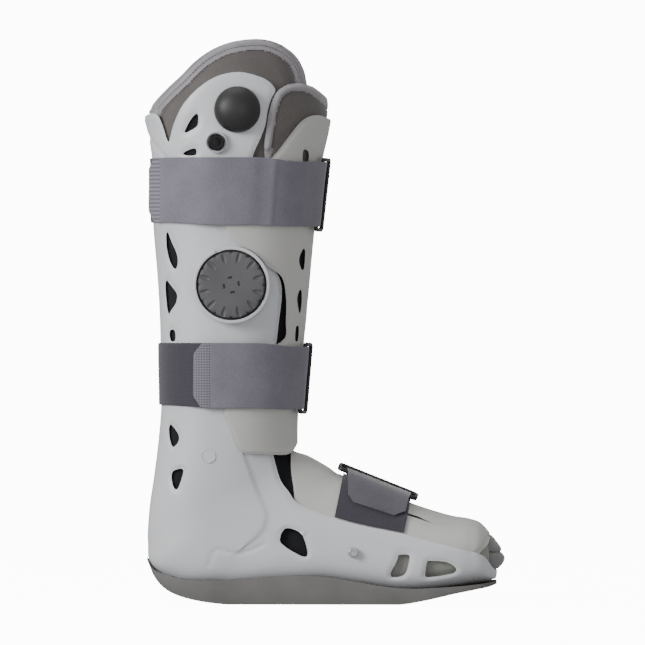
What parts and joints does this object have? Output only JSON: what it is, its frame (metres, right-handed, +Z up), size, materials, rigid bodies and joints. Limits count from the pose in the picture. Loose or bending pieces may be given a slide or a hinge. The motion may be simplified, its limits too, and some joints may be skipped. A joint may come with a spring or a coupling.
{
  "type": "medical walking boot",
  "caption": "Tall hard-shell walking boot with a padded liner, rocker sole, three straps through rings, an air bulb with a release button and a dial.",
  "frame": {"origin": "On the floor under the sole, straight below the axis of the shin, on the middle plane of the boot.", "axes": "+X points to the toe, +Y to the far side, away from the dial, and +Z up along the shin."},
  "size_m": [0.2857, 0.146, 0.444],
  "materials": {
    "shell": "satin, fine grain",
    "shell_warm": "satin, fine grain",
    "sole": "matt moulded",
    "pad": "padded brushed cloth",
    "liner": "padded cloth",
    "strap": "brushed loop pile",
    "bulb": "satin",
    "button": "gloss",
    "dial": "satin",
    "rivet": "brushed",
    "ring": "satin"
  },
  "bodies": {
    "root": {"rear_shell": "shell", "front_shell": "shell_warm", "foot_panel": "shell_warm", "sole": "sole", "liner_collar": "pad", "liner_boot": "liner", "liner_flap": "pad", "bulb": "bulb", "valve_collar": "shell", "dial_seat": "shell", "rivet_near": "rivet", "rivet_far": "rivet", "strap_upper": "strap", "anchor_upper": "strap", "ring_upper": "ring", "strap_lower": "strap", "anchor_lower": "strap", "ring_lower": "ring", "strap_foot": "strap", "anchor_foot": "strap", "ring_foot": "ring"},
    "dial": {"dial": "dial"},
    "valve_button": {"valve_button": "button"}
  },
  "joints": [
    {"name": "dial_turn", "type": "hinge", "parent": "root", "child": "dial", "pos_m": [-0.00234, -0.06, 0.25106], "axis": [0, 1, 0], "range_deg": [-90, 90]},
    {"name": "button_push", "type": "slide", "parent": "root", "child": "valve_button", "axis": [0, 1, 0], "range_m": [0, 0.002], "stiffness_N_per_m": 200}
  ]
}
